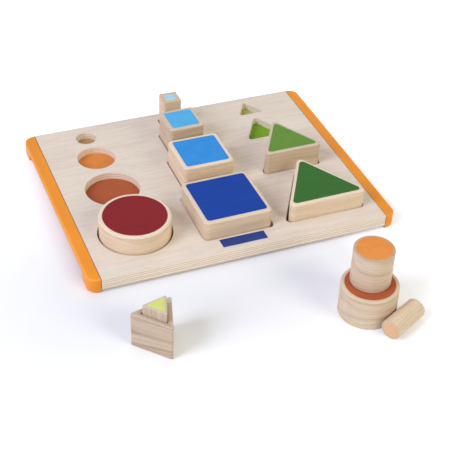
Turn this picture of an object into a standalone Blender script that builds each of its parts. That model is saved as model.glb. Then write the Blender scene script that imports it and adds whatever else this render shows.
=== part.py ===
"""Wooden shape sorter: a plywood board with twelve wells on two side rails, and twelve blocks.

The blocks come in three shapes and four sizes. Each size but the smallest is hollow from beneath,
so that the next smaller block of its shape nests in it. The board's origin for measuring is the
front left corner of its top; the set's origin is under its middle, on the floor.
"""
from math import cos, pi, radians, sin, sqrt

import bmesh
import bpy

MM = 0.001

# Clearances that every piece shares
SEAT_GAP = 0.3 * MM
CUT_OVERRUN = 1.0 * MM

# Blocks, from the smallest, 1, to the largest, 4. A round or square block has a width and a
# triangle a side, measured to its sharp corners; each smaller one is a share of the next larger
LARGEST_WIDTH = 85.5 * MM
WIDTH_SHARES = {3: 0.7637, 2: 0.7014, 1: 0.5153}
LARGEST_SIDE = 107.0 * MM
SIDE_SHARES = {3: 0.7664, 2: 0.6476, 1: 0.5838}
HEIGHT_1 = 49.4 * MM
HEIGHT_2 = 44.6 * MM
HEIGHT_3 = 39.8 * MM
HEIGHT_4 = 33.2 * MM
SQUARE_CORNER_1 = 2.2 * MM
SQUARE_CORNER_2 = 4.0 * MM
SQUARE_CORNER_3 = 5.0 * MM
SQUARE_CORNER_4 = 6.0 * MM
TRIANGLE_CORNER_1 = 1.2 * MM
TRIANGLE_CORNER_2 = 2.0 * MM
TRIANGLE_CORNER_3 = 5.0 * MM
TRIANGLE_CORNER_4 = 6.0 * MM
TOP_ROUND_OVER_1 = 0.9 * MM
TOP_ROUND_OVER_2 = 1.3 * MM
TOP_ROUND_OVER_3 = 1.8 * MM
TOP_ROUND_OVER_4 = 2.2 * MM
RIM_ROUND_OVER = 0.8 * MM
TOP_PLATE = 7.0 * MM
NEST_CLEARANCE = 0.9 * MM
POCKET_MOUTH_EASE = 0.6 * MM

# Painted tops: a thin coat in a shallow recess
PAINT_THICKNESS = 0.35 * MM
ROUND_PAINT_MARGIN_1 = 3.3 * MM
ROUND_PAINT_MARGIN_2 = 3.0 * MM
ROUND_PAINT_MARGIN_3 = 4.1 * MM
ROUND_PAINT_MARGIN_4 = 4.5 * MM
SQUARE_PAINT_MARGIN = 4.5 * MM
TRIANGLE_PAINT_MARGIN_1 = 2.2 * MM
TRIANGLE_PAINT_MARGIN_2 = 2.4 * MM
TRIANGLE_PAINT_MARGIN_3 = 3.5 * MM
TRIANGLE_PAINT_MARGIN_4 = 3.8 * MM
PAINT_CORNER_SHARE = 0.7

# Wells: the gap on each side of a block that sits in the middle of its well
WELL_GAP = 1.3 * MM
LARGEST_WELL_GAP = 1.85 * MM
TRIANGLE_WELL_GAP_1 = 1.31 * MM
TRIANGLE_WELL_GAP_2 = 1.57 * MM
TRIANGLE_WELL_GAP_3 = 0.88 * MM
TRIANGLE_WELL_GAP_4 = 1.17 * MM
WELL_CORNER_1 = 3.0 * MM
WELL_CORNER_2 = 4.0 * MM
WELL_CORNER_3 = 5.0 * MM
WELL_CORNER_4 = 6.0 * MM
WELL_EDGE_EASE = 0.5 * MM

# Board, backing panel and what lies between the wells
BOARD_THICKNESS = 9.8 * MM
BACKING_THICKNESS = 5.4 * MM
BOARD_EDGE_EASE = 0.8 * MM
LEFT_MARGIN = 17.6 * MM
ROUND_TO_SQUARE_WEB = 26.2 * MM
SQUARE_TO_TRIANGLE_WEB = 13.2 * MM
RIGHT_MARGIN = 11.5 * MM
FRONT_MARGIN = 25.7 * MM
ROW_4_WEB = 10.6 * MM
ROW_3_WEB = 11.0 * MM
ROW_2_WEB = 10.1 * MM
BACK_MARGIN = 13.6 * MM

# Side rails, each standing on a foot at either end
RAIL_WIDTH = 14.8 * MM
RAIL_HEIGHT = 19.0 * MM
RAIL_OUTER_CORNER = 12.0 * MM
RAIL_INNER_CORNER = 0.6 * MM
RAIL_ROUND_OVER = 2.0 * MM
RAIL_SEAM_EASE = 0.4 * MM
FOOT_LENGTH = 29.0 * MM
ARCH_HEIGHT = 10.0 * MM
ARCH_CORNER_SHARE = 0.5
FOOT_CORNER_SHARE = 0.45

# Dowels that hold the rails to the board
DOWEL_DIAMETER = 5.0 * MM
DOWEL_LENGTH = 24.0 * MM
DOWEL_IN_RAIL = 8.5 * MM
DOWEL_FROM_BOARD_END = 14.0 * MM
DOWEL_CHAMFER = 0.5 * MM

# Bare plate in front of the middle wells
LABEL_WIDTH = 57.4 * MM
LABEL_DEPTH = 15.8 * MM
LABEL_THICKNESS = 0.6 * MM
LABEL_CORNER = 1.2 * MM
LABEL_FROM_FRONT = 15.0 * MM

# Blocks that stand on the floor, measured from the board's front left corner
ROUND_STACK_RIGHT = 269.3 * MM
ROUND_STACK_FORWARD = 125.7 * MM
UPPER_ROUND_SHIFT_RIGHT = 2.2 * MM
UPPER_ROUND_SHIFT_BACK = 4.8 * MM
UPTURNED_RIGHT = 32.8 * MM
UPTURNED_FORWARD = 99.1 * MM
UPTURNED_TURN = radians(13.2)
NESTED_PUSH_SHARE = (0.2, -1.0)
PEG_TURN = radians(27.2)
PEG_TOUCH_FROM_TOP = 19.9 * MM

# How far a seated block is pushed to one side, as a share of its free play, right and back
PUSH_SHARE = {
    "round_4": (0.0, 0.0),
    "square_4": (-0.8, -0.1),
    "square_3": (0.1, 0.8),
    "square_2": (-0.1, 0.6),
    "square_1": (0.2, -0.1),
    "triangle_4": (0.9, -0.6),
    "triangle_3": (-0.3, -0.7),
}
SEATED_TURN = {"square_4": radians(0.5), "square_2": radians(1.0), "triangle_4": radians(0.4)}

# Fineness of the round stretches
ROUND_FACETS = {1: 28, 2: 32, 3: 36, 4: 40}
SIDES = {"square": 4, "triangle": 3}
CORNER_STEPS = {"square": 4, "triangle": 5}
ROUND_OVER_STEPS = 3
EASE_STEPS = 2
RAIL_CORNER_STEPS = 7
DOWEL_FACETS = 16
FRONT = -pi / 2
SHARP_ANGLE = radians(32)

# Colours, red, green and blue from 0 to 255 as on a screen
BOARD_COLOUR = (222, 200, 172)
BLOCK_COLOUR = (214, 189, 158)
BACKING_COLOUR = (210, 184, 150)
DOWEL_COLOUR = (200, 172, 134)
RAIL_COLOUR = (232, 145, 55)
LABEL_COLOUR = (42, 52, 140)
PAINT_COLOURS = {
    "round_1": (235, 180, 135),
    "round_2": (225, 140, 70),
    "round_3": (175, 80, 55),
    "round_4": (138, 45, 50),
    "square_1": (150, 205, 235),
    "square_2": (85, 170, 228),
    "square_3": (62, 145, 218),
    "square_4": (38, 72, 155),
    "triangle_1": (205, 220, 110),
    "triangle_2": (110, 165, 25),
    "triangle_3": (105, 148, 70),
    "triangle_4": (62, 115, 58),
}


# The same sizes by block number
BLOCK_HEIGHT = {1: HEIGHT_1, 2: HEIGHT_2, 3: HEIGHT_3, 4: HEIGHT_4}
TOP_ROUND_OVER = {1: TOP_ROUND_OVER_1, 2: TOP_ROUND_OVER_2, 3: TOP_ROUND_OVER_3, 4: TOP_ROUND_OVER_4}
SQUARE_CORNER = {1: SQUARE_CORNER_1, 2: SQUARE_CORNER_2, 3: SQUARE_CORNER_3, 4: SQUARE_CORNER_4}
TRIANGLE_CORNER = {1: TRIANGLE_CORNER_1, 2: TRIANGLE_CORNER_2, 3: TRIANGLE_CORNER_3, 4: TRIANGLE_CORNER_4}
TRIANGLE_WELL_GAP = {
    1: TRIANGLE_WELL_GAP_1,
    2: TRIANGLE_WELL_GAP_2,
    3: TRIANGLE_WELL_GAP_3,
    4: TRIANGLE_WELL_GAP_4,
}
WELL_CORNER = {1: WELL_CORNER_1, 2: WELL_CORNER_2, 3: WELL_CORNER_3, 4: WELL_CORNER_4}
ROW_WEB = {2: ROW_2_WEB, 3: ROW_3_WEB, 4: ROW_4_WEB}
ROUND_PAINT_MARGIN = {
    1: ROUND_PAINT_MARGIN_1,
    2: ROUND_PAINT_MARGIN_2,
    3: ROUND_PAINT_MARGIN_3,
    4: ROUND_PAINT_MARGIN_4,
}
TRIANGLE_PAINT_MARGIN = {
    1: TRIANGLE_PAINT_MARGIN_1,
    2: TRIANGLE_PAINT_MARGIN_2,
    3: TRIANGLE_PAINT_MARGIN_3,
    4: TRIANGLE_PAINT_MARGIN_4,
}
SMALLEST = min(BLOCK_HEIGHT)
LARGEST = max(BLOCK_HEIGHT)

BLOCK_WIDTH = {LARGEST: LARGEST_WIDTH}
TRIANGLE_SIDE = {LARGEST: LARGEST_SIDE}
for smaller in WIDTH_SHARES:
    BLOCK_WIDTH[smaller] = BLOCK_WIDTH[smaller + 1] * WIDTH_SHARES[smaller]
    TRIANGLE_SIDE[smaller] = TRIANGLE_SIDE[smaller + 1] * SIDE_SHARES[smaller]


def block_apothem(shape, size):
    """From a block's middle to the middle of its side, or a round block's radius."""
    if shape == "triangle":
        return TRIANGLE_SIDE[size] / (2 * sqrt(3))
    return BLOCK_WIDTH[size] / 2


def block_corner(shape, size):
    return TRIANGLE_CORNER[size] if shape == "triangle" else SQUARE_CORNER[size]


def paint_margin(shape, size):
    if shape == "square":
        return SQUARE_PAINT_MARGIN
    return TRIANGLE_PAINT_MARGIN[size] if shape == "triangle" else ROUND_PAINT_MARGIN[size]


def well_gap(shape, size):
    """The room on each side of a block that sits in the middle of its well."""
    if shape == "triangle":
        return TRIANGLE_WELL_GAP[size]
    return LARGEST_WELL_GAP if size == LARGEST else WELL_GAP


def well_apothem(shape, size):
    return block_apothem(shape, size) + well_gap(shape, size)


def well_width(shape, size):
    """A well's width from left to right, measured to the triangle's sharp corners."""
    if shape == "triangle":
        return well_apothem(shape, size) * 2 * sqrt(3)
    return well_apothem(shape, size) * 2


def row_depth(size):
    """From front to back of the deepest well in a row; a triangle's rounded tip falls short."""
    triangle_depth = 3 * well_apothem("triangle", size) - WELL_CORNER[size]
    return max(well_width("square", size), triangle_depth)


# Plan of the board, from its front left corner
COLUMN_X = {"round": LEFT_MARGIN + well_width("round", LARGEST) / 2}
SQUARE_COLUMN_LEFT = LEFT_MARGIN + well_width("round", LARGEST) + ROUND_TO_SQUARE_WEB
COLUMN_X["square"] = SQUARE_COLUMN_LEFT + well_width("square", LARGEST) / 2
TRIANGLE_COLUMN_LEFT = SQUARE_COLUMN_LEFT + well_width("square", LARGEST) + SQUARE_TO_TRIANGLE_WEB
COLUMN_X["triangle"] = TRIANGLE_COLUMN_LEFT + well_width("triangle", LARGEST) / 2
BOARD_WIDTH = TRIANGLE_COLUMN_LEFT + well_width("triangle", LARGEST) + RIGHT_MARGIN

ROW_FRONT = {LARGEST: FRONT_MARGIN}
for row in sorted(ROW_WEB, reverse=True):
    ROW_FRONT[row - 1] = ROW_FRONT[row] + row_depth(row) + ROW_WEB[row]
BOARD_DEPTH = ROW_FRONT[SMALLEST] + well_width("square", SMALLEST) + BACK_MARGIN

# Places of the loose round blocks and the peg, and the middle of the whole set
PEG_RADIUS = BLOCK_WIDTH[SMALLEST] / 2
PEG_OFFSET = BLOCK_WIDTH[3] / 2 + PEG_RADIUS + SEAT_GAP
PEG_TOP_RIGHT = ROUND_STACK_RIGHT + PEG_OFFSET * sin(PEG_TURN) - PEG_TOUCH_FROM_TOP * cos(PEG_TURN)
PEG_TOP_FORWARD = ROUND_STACK_FORWARD + PEG_OFFSET * cos(PEG_TURN) + PEG_TOUCH_FROM_TOP * sin(PEG_TURN)
PEG_TOP_REACH = (PEG_RADIUS - TOP_ROUND_OVER_1) * cos(PEG_TURN) + TOP_ROUND_OVER_1
PEG_FORWARD_REACH = PEG_TOP_FORWARD - TOP_ROUND_OVER_1 * sin(PEG_TURN) + PEG_TOP_REACH
MIDDLE_Y = (BOARD_DEPTH - PEG_FORWARD_REACH) / 2

# Heights above the floor
BOARD_TOP = RAIL_HEIGHT
BOARD_UNDERSIDE = BOARD_TOP - BOARD_THICKNESS
BACKING_TOP = BOARD_UNDERSIDE - SEAT_GAP
SPOT_TOP = BACKING_TOP + SEAT_GAP + PAINT_THICKNESS
WELL_SEAT = SPOT_TOP + SEAT_GAP
PAINT_RECESS = SEAT_GAP + PAINT_THICKNESS
DOWEL_HEIGHT = (RAIL_HEIGHT + ARCH_HEIGHT) / 2
ARCH_CORNER = ARCH_HEIGHT * ARCH_CORNER_SHARE
FOOT_CORNER = ARCH_HEIGHT * FOOT_CORNER_SHARE


def world(right, back, height=0.0):
    """A place given from the board's front left corner, in the set's own frame."""
    return (right - BOARD_WIDTH / 2, back - MIDDLE_Y, height)


def clear_scene():
    for old in list(bpy.data.objects):
        bpy.data.objects.remove(old, do_unlink=True)


def screen_colour(rgb):
    """A colour from 0 to 255 as the linear values that a material takes."""
    linear = []
    for channel in rgb:
        value = channel / 255
        linear.append(value / 12.92 if value <= 0.04045 else ((value + 0.055) / 1.055) ** 2.4)
    return (*linear, 1.0)


def make_material(name, rgb, roughness):
    material = bpy.data.materials.new(name + "_finish")
    material.use_nodes = True
    shader = material.node_tree.nodes["Principled BSDF"]
    shader.inputs["Base Color"].default_value = screen_colour(rgb)
    shader.inputs["Roughness"].default_value = roughness
    shader.inputs["Metallic"].default_value = 0.0
    material.diffuse_color = screen_colour(rgb)
    return material


def make_object(name, bm, location=(0.0, 0.0, 0.0), rgb=None, roughness=0.6):
    """Turn a bmesh into an object; a piece with no colour is a cutter."""
    bmesh.ops.recalc_face_normals(bm, faces=bm.faces)
    mesh = bpy.data.meshes.new(name)
    bm.to_mesh(mesh)
    bm.free()
    mesh.shade_smooth()
    mesh.set_sharp_from_angle(angle=SHARP_ANGLE)
    piece = bpy.data.objects.new(name, mesh)
    piece.location = location
    bpy.context.scene.collection.objects.link(piece)
    if rgb is None:
        piece.hide_render = True
        piece.display_type = "WIRE"
    else:
        mesh.materials.append(make_material(name, rgb, roughness))
    return piece


def cut(piece, cutter):
    boolean = piece.modifiers.new(cutter.name, "BOOLEAN")
    boolean.operation = "DIFFERENCE"
    boolean.solver = "EXACT"
    boolean.object = cutter


def arc(centre, radius, start, sweep, steps):
    """Points along an arc in a plane, with both of its ends."""
    turns = [start + sweep * step / steps for step in range(steps + 1)]
    return [(centre[0] + radius * cos(turn), centre[1] + radius * sin(turn)) for turn in turns]


def outline(shape, size, apothem, corner):
    """A block's outline from above, anticlockwise, with a flat side to the front."""
    if shape == "round":
        facets = ROUND_FACETS[size]
        return arc((0.0, 0.0), apothem, FRONT, 2 * pi * (facets - 1) / facets, facets - 1)
    turn = 2 * pi / SIDES[shape]
    reach = (apothem - corner) / cos(turn / 2)
    points = []
    for side in range(SIDES[shape]):
        normal = FRONT + side * turn
        middle = normal + turn / 2
        centre = (reach * cos(middle), reach * sin(middle))
        points += arc(centre, corner, normal, turn, CORNER_STEPS[shape])
    return points


def round_over(radius, steps):
    """How far in and how far down each ring of a rounded edge lies, from wall to top."""
    turns = [pi / 2 * step / steps for step in range(steps + 1)]
    return [(radius * (1 - cos(turn)), radius * (1 - sin(turn))) for turn in turns]


def loft(bm, rings):
    """Join rings of as many points each, and close the first and the last with a face."""
    loops = [[bm.verts.new(point) for point in ring] for ring in rings]
    for lower, upper in zip(loops, loops[1:]):
        for index in range(len(lower)):
            after = (index + 1) % len(lower)
            bm.faces.new((lower[index], lower[after], upper[after], upper[index]))
    bm.faces.new(reversed(loops[0]))
    bm.faces.new(loops[-1])


def at_height(points, height, right=0.0, back=0.0):
    return [(x + right, y + back, height) for x, y in points]


def extrude_profile(bm, profile, along_x):
    """Push a profile, drawn in the plane across X, along X."""
    start = [bm.verts.new(point) for point in profile]
    face = bm.faces.new(start)
    pushed = bmesh.ops.extrude_face_region(bm, geom=[face])["geom"]
    new_verts = [item for item in pushed if isinstance(item, bmesh.types.BMVert)]
    bmesh.ops.translate(bm, verts=new_verts, vec=(along_x, 0.0, 0.0))


def slab_profile(left, front, back, bottom, top, ease_top, ease_bottom):
    """A slab's cross-section with its front and back edges eased above, below or both."""
    across = []
    if ease_bottom > 0:
        across += arc((front + ease_bottom, bottom + ease_bottom), ease_bottom, pi, pi / 2, EASE_STEPS)
        across += arc((back - ease_bottom, bottom + ease_bottom), ease_bottom, FRONT, pi / 2, EASE_STEPS)
    else:
        across += [(front, bottom), (back, bottom)]
    if ease_top > 0:
        across += arc((back - ease_top, top - ease_top), ease_top, 0.0, pi / 2, EASE_STEPS)
        across += arc((front + ease_top, top - ease_top), ease_top, pi / 2, pi / 2, EASE_STEPS)
    else:
        across += [(back, top), (front, top)]
    return [(left, y, z) for y, z in across]


def well_cutters():
    """All twelve wells, each with a flared mouth that eases its edge, and the label's recess."""
    bm = bmesh.new()
    for shape in COLUMN_X:
        for size in BLOCK_HEIGHT:
            apothem = well_apothem(shape, size)
            corner = WELL_CORNER[size]
            flare = WELL_EDGE_EASE + CUT_OVERRUN
            wall = outline(shape, size, apothem, corner)
            mouth = outline(shape, size, apothem + flare, corner + flare)
            right, back, _ = world(COLUMN_X[shape], ROW_FRONT[size] + apothem)
            loft(bm, [
                at_height(wall, BOARD_UNDERSIDE - CUT_OVERRUN, right, back),
                at_height(wall, BOARD_TOP - WELL_EDGE_EASE, right, back),
                at_height(mouth, BOARD_TOP + CUT_OVERRUN, right, back),
            ])
    recess = label_outline(SEAT_GAP)
    right, back, _ = world(COLUMN_X["square"], LABEL_FROM_FRONT)
    loft(bm, [
        at_height(recess, BOARD_TOP - LABEL_THICKNESS, right, back),
        at_height(recess, BOARD_TOP + CUT_OVERRUN, right, back),
    ])
    return make_object("well_cutter", bm)


def label_outline(grow):
    """The label's rounded rectangle, or its recess when grown."""
    half_width = LABEL_WIDTH / 2 + grow - LABEL_CORNER
    half_depth = LABEL_DEPTH / 2 + grow - LABEL_CORNER
    points = []
    for quarter, (side, end) in enumerate(((1, 1), (-1, 1), (-1, -1), (1, -1))):
        centre = (side * half_width, end * half_depth)
        points += arc(centre, LABEL_CORNER, quarter * pi / 2, pi / 2, EASE_STEPS)
    return points


def dowel_places():
    """Each dowel's name, its side of the board and how far behind the board's front it lies."""
    ends = {
        "front": DOWEL_FROM_BOARD_END,
        "middle": BOARD_DEPTH / 2,
        "back": BOARD_DEPTH - DOWEL_FROM_BOARD_END,
    }
    for side_name, side in (("left", -1), ("right", 1)):
        for end_name, back in ends.items():
            yield f"{side_name}_dowel_{end_name}", side, back


def dowel_rings(side, back, grow):
    """A dowel with chamfered ends, or its hole when grown, from the rail inwards."""
    _, middle_y, middle_z = world(0.0, back, DOWEL_HEIGHT)
    outer = side * (BOARD_WIDTH / 2 + DOWEL_IN_RAIL + grow)
    inner = side * (BOARD_WIDTH / 2 + DOWEL_IN_RAIL - DOWEL_LENGTH - grow)
    inward = 1 if inner > outer else -1
    radius = DOWEL_DIAMETER / 2 + grow
    stations = (
        (outer, radius - DOWEL_CHAMFER),
        (outer + inward * DOWEL_CHAMFER, radius),
        (inner - inward * DOWEL_CHAMFER, radius),
        (inner, radius - DOWEL_CHAMFER),
    )
    sweep = 2 * pi * (DOWEL_FACETS - 1) / DOWEL_FACETS
    return [
        [(x, y, z) for y, z in arc((middle_y, middle_z), ring_radius, 0.0, sweep, DOWEL_FACETS - 1)]
        for x, ring_radius in stations
    ]


def dowel_hole_cutters():
    bm = bmesh.new()
    for _, side, back in dowel_places():
        loft(bm, dowel_rings(side, back, SEAT_GAP))
    return make_object("dowel_hole_cutter", bm)


def make_dowels():
    for name, side, back in dowel_places():
        bm = bmesh.new()
        loft(bm, dowel_rings(side, back, 0.0))
        make_object(name, bm, rgb=DOWEL_COLOUR, roughness=0.7)


def make_board(wells, dowel_holes):
    left, front, _ = world(0.0, 0.0)
    _, back, _ = world(0.0, BOARD_DEPTH)
    bm = bmesh.new()
    extrude_profile(
        bm, slab_profile(left, front, back, BOARD_UNDERSIDE, BOARD_TOP, BOARD_EDGE_EASE, 0.0), BOARD_WIDTH
    )
    board = make_object("sorting_board", bm, rgb=BOARD_COLOUR, roughness=0.55)
    cut(board, wells)
    cut(board, dowel_holes)


def make_backing():
    left, front, _ = world(0.0, 0.0)
    _, back, _ = world(0.0, BOARD_DEPTH)
    bottom = BACKING_TOP - BACKING_THICKNESS
    bm = bmesh.new()
    extrude_profile(
        bm, slab_profile(left, front, back, bottom, BACKING_TOP, 0.0, BOARD_EDGE_EASE), BOARD_WIDTH
    )
    make_object("backing_panel", bm, rgb=BACKING_COLOUR, roughness=0.65)


def rail_ring(side, inset, seam_inset, height):
    """A rail's plan drawn in by its round-over, and by less along the seam with the board."""
    inner = BOARD_WIDTH / 2 + SEAT_GAP + seam_inset
    outer = BOARD_WIDTH / 2 + RAIL_WIDTH - inset
    _, front, _ = world(0.0, inset)
    _, back, _ = world(0.0, BOARD_DEPTH - inset)
    corner = RAIL_OUTER_CORNER - inset
    small = RAIL_INNER_CORNER
    points = arc((inner + small, front + small), small, pi, pi / 2, EASE_STEPS)
    points += arc((outer - corner, front + corner), corner, FRONT, pi / 2, RAIL_CORNER_STEPS)
    points += arc((outer - corner, back - corner), corner, 0.0, pi / 2, RAIL_CORNER_STEPS)
    points += arc((inner + small, back - small), small, pi / 2, pi / 2, EASE_STEPS)
    return [(side * x, y, height) for x, y in points]


def arch_cutter():
    """The long arch between the feet, with a soft bend up from each foot, cut through both rails."""
    _, front, _ = world(0.0, FOOT_LENGTH)
    _, back, _ = world(0.0, BOARD_DEPTH - FOOT_LENGTH)
    across = BOARD_WIDTH / 2 + RAIL_WIDTH + CUT_OVERRUN
    turn = pi / 2
    bend = ARCH_HEIGHT - ARCH_CORNER
    profile = [(front - FOOT_CORNER, -CUT_OVERRUN), (back + FOOT_CORNER, -CUT_OVERRUN)]
    profile += arc((back + FOOT_CORNER, FOOT_CORNER), FOOT_CORNER, FRONT, -turn, RAIL_CORNER_STEPS)
    profile += arc((back - ARCH_CORNER, bend), ARCH_CORNER, 0.0, turn, RAIL_CORNER_STEPS)
    profile += arc((front + ARCH_CORNER, bend), ARCH_CORNER, turn, turn, RAIL_CORNER_STEPS)
    profile += arc((front - FOOT_CORNER, FOOT_CORNER), FOOT_CORNER, 0.0, -turn, RAIL_CORNER_STEPS)
    bm = bmesh.new()
    extrude_profile(bm, [(-across, y, z) for y, z in profile], 2 * across)
    return make_object("arch_cutter", bm)


def make_rail(name, side, arch, dowel_holes):
    rings = [
        rail_ring(side, inset, min(inset, RAIL_SEAM_EASE), drop)
        for inset, drop in reversed(round_over(RAIL_ROUND_OVER, ROUND_OVER_STEPS))
    ]
    rings += [
        rail_ring(side, inset, min(inset, RAIL_SEAM_EASE), RAIL_HEIGHT - drop)
        for inset, drop in round_over(RAIL_ROUND_OVER, ROUND_OVER_STEPS)
    ]
    bm = bmesh.new()
    loft(bm, rings)
    rail = make_object(name, bm, rgb=RAIL_COLOUR, roughness=0.45)
    cut(rail, arch)
    cut(rail, dowel_holes)


def make_label():
    right, back, _ = world(COLUMN_X["square"], LABEL_FROM_FRONT)
    plate = label_outline(0.0)
    bottom = BOARD_TOP - LABEL_THICKNESS + SEAT_GAP
    bm = bmesh.new()
    loft(bm, [at_height(plate, 0.0), at_height(plate, LABEL_THICKNESS)])
    make_object("label_plate", bm, (right, back, bottom), LABEL_COLOUR, 0.4)


def make_spots():
    """The coloured floor of each well: a thin coat on the backing panel."""
    for shape in COLUMN_X:
        for size in BLOCK_HEIGHT:
            apothem = well_apothem(shape, size)
            spot = outline(shape, size, apothem - SEAT_GAP, WELL_CORNER[size] - SEAT_GAP)
            place = world(COLUMN_X[shape], ROW_FRONT[size] + apothem, BACKING_TOP + SEAT_GAP)
            bm = bmesh.new()
            loft(bm, [at_height(spot, 0.0), at_height(spot, PAINT_THICKNESS)])
            make_object(f"well_floor_{shape}_{size}", bm, place, PAINT_COLOURS[f"{shape}_{size}"], 0.6)


def paint_outline(shape, size, grow):
    apothem = block_apothem(shape, size) - paint_margin(shape, size) + grow
    return outline(shape, size, apothem, block_corner(shape, size) * PAINT_CORNER_SHARE + grow)


def pocket_rings(shape, size):
    """The hollow under a block, sized from the next smaller block that nests in it."""
    apothem = block_apothem(shape, size - 1) + NEST_CLEARANCE
    corner = block_corner(shape, size - 1)
    pocket = outline(shape, size, apothem, corner)
    mouth = outline(shape, size, apothem + POCKET_MOUTH_EASE, corner + POCKET_MOUTH_EASE)
    return [
        at_height(pocket, BLOCK_HEIGHT[size] - TOP_PLATE),
        at_height(pocket, POCKET_MOUTH_EASE),
        at_height(mouth, 0.0),
    ]


def block_rings(shape, size):
    """A block from its pocket, out over the rim, up the wall and in to the painted recess."""
    apothem = block_apothem(shape, size)
    corner = block_corner(shape, size)
    height = BLOCK_HEIGHT[size]
    rings = pocket_rings(shape, size) if size > SMALLEST else []
    for inset, drop in reversed(round_over(RIM_ROUND_OVER, EASE_STEPS)):
        rings.append(at_height(outline(shape, size, apothem - inset, corner - inset), drop))
    for inset, drop in round_over(TOP_ROUND_OVER[size], ROUND_OVER_STEPS):
        rings.append(at_height(outline(shape, size, apothem - inset, corner - inset), height - drop))
    recess = paint_outline(shape, size, SEAT_GAP)
    rings.append(at_height(recess, height))
    rings.append(at_height(recess, height - PAINT_RECESS))
    return rings


def make_block(shape, size, location, rotation=(0.0, 0.0, 0.0)):
    """A block with its origin in the middle of its underside, and its painted top riding on it."""
    bm = bmesh.new()
    loft(bm, block_rings(shape, size))
    block = make_object(f"{shape}_block_{size}", bm, location, BLOCK_COLOUR, 0.6)
    block.rotation_euler = rotation
    coat = paint_outline(shape, size, 0.0)
    bm = bmesh.new()
    loft(bm, [at_height(coat, 0.0), at_height(coat, PAINT_THICKNESS)])
    top = (0.0, 0.0, BLOCK_HEIGHT[size] - PAINT_THICKNESS)
    face = make_object(f"{shape}_face_{size}", bm, top, PAINT_COLOURS[f"{shape}_{size}"], 0.5)
    face.parent = block
    return block


def make_seated_blocks():
    for key, (push_right, push_back) in PUSH_SHARE.items():
        shape, size = key.split("_")
        size = int(size)
        gap = well_gap(shape, size)
        right = COLUMN_X[shape] + gap * push_right
        back = ROW_FRONT[size] + well_apothem(shape, size) + gap * push_back
        turn = SEATED_TURN.get(key, 0.0)
        make_block(shape, size, world(right, back, WELL_SEAT), (0.0, 0.0, turn))


def make_round_stack():
    """The third round block on the floor with the second standing on its painted top."""
    make_block("round", 3, world(ROUND_STACK_RIGHT, -ROUND_STACK_FORWARD))
    right = ROUND_STACK_RIGHT + UPPER_ROUND_SHIFT_RIGHT
    back = UPPER_ROUND_SHIFT_BACK - ROUND_STACK_FORWARD
    make_block("round", 2, world(right, back, HEIGHT_3 + SEAT_GAP))


def make_lying_peg():
    """The smallest round block on its side against the stack, painted end to the front."""
    right = PEG_TOP_RIGHT + HEIGHT_1 * cos(PEG_TURN)
    back = HEIGHT_1 * sin(PEG_TURN) - PEG_TOP_FORWARD
    place = world(right, back, PEG_RADIUS)
    make_block("round", 1, place, (pi / 2, 0.0, PEG_TURN - pi / 2))


def make_nested_pair():
    """The second triangle upside down on the floor, with the smallest standing in its pocket."""
    place = world(UPTURNED_RIGHT, -UPTURNED_FORWARD, HEIGHT_2)
    make_block("triangle", 2, place, (pi, 0.0, UPTURNED_TURN))
    push_right, push_back = NESTED_PUSH_SHARE
    right = UPTURNED_RIGHT + NEST_CLEARANCE * push_right
    back = NEST_CLEARANCE * push_back - UPTURNED_FORWARD
    place = world(right, back, TOP_PLATE + SEAT_GAP)
    make_block("triangle", 1, place, (0.0, 0.0, UPTURNED_TURN - pi / 3))


def weight_normals():
    """Keep flat faces flat in the shading next to their rounded edges."""
    for piece in bpy.context.scene.objects:
        if not piece.hide_render:
            weighted = piece.modifiers.new("weighted_normals", "WEIGHTED_NORMAL")
            weighted.keep_sharp = True


def main():
    clear_scene()
    wells = well_cutters()
    dowel_holes = dowel_hole_cutters()
    arch = arch_cutter()
    make_board(wells, dowel_holes)
    make_backing()
    make_rail("left_rail", -1, arch, dowel_holes)
    make_rail("right_rail", 1, arch, dowel_holes)
    make_dowels()
    make_label()
    make_spots()
    make_seated_blocks()
    make_round_stack()
    make_lying_peg()
    make_nested_pair()
    weight_normals()


main()
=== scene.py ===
from collections import namedtuple
from math import cos, pi, radians, sin, tan

import bmesh
import bpy
from mathutils import Matrix, Vector


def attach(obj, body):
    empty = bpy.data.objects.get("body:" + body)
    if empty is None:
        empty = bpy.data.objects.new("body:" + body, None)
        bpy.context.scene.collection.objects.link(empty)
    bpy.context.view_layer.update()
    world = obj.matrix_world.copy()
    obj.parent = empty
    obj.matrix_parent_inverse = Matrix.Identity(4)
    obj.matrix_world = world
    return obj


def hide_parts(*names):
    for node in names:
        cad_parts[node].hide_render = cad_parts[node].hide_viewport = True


MM = 0.001
ORIGIN = (0.0, 0.0, 0.0)

# Board, in the set's own frame, which starts on the floor under the set's middle
BOARD_WIDTH = 357.95 * MM
BOARD_DEPTH = 304.43 * MM
BOARD_FRONT = -59.826 * MM
BOARD_MIDDLE = BOARD_FRONT + BOARD_DEPTH / 2
BOARD_TOP = 19.0 * MM
BOARD_UNDERSIDE = 9.2 * MM
BACKING_TOP = 8.9 * MM
BACKING_UNDERSIDE = 3.5 * MM
PLY_THICKNESS = 1.4 * MM
BOARD_EDGE_EASE = 0.8 * MM
BOARD_SEAM_EASE = 0.3 * MM
WELL_EDGE_EASE = 0.5 * MM

# Spaces: between neighbours, round a piece that is let in, and what counts as one place
GAP = 0.3 * MM
THIN_GAP = 0.05 * MM
TOUCH = 0.002 * MM
# How far a cutter runs past what it cuts
OVERRUN = 1.0 * MM

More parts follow.
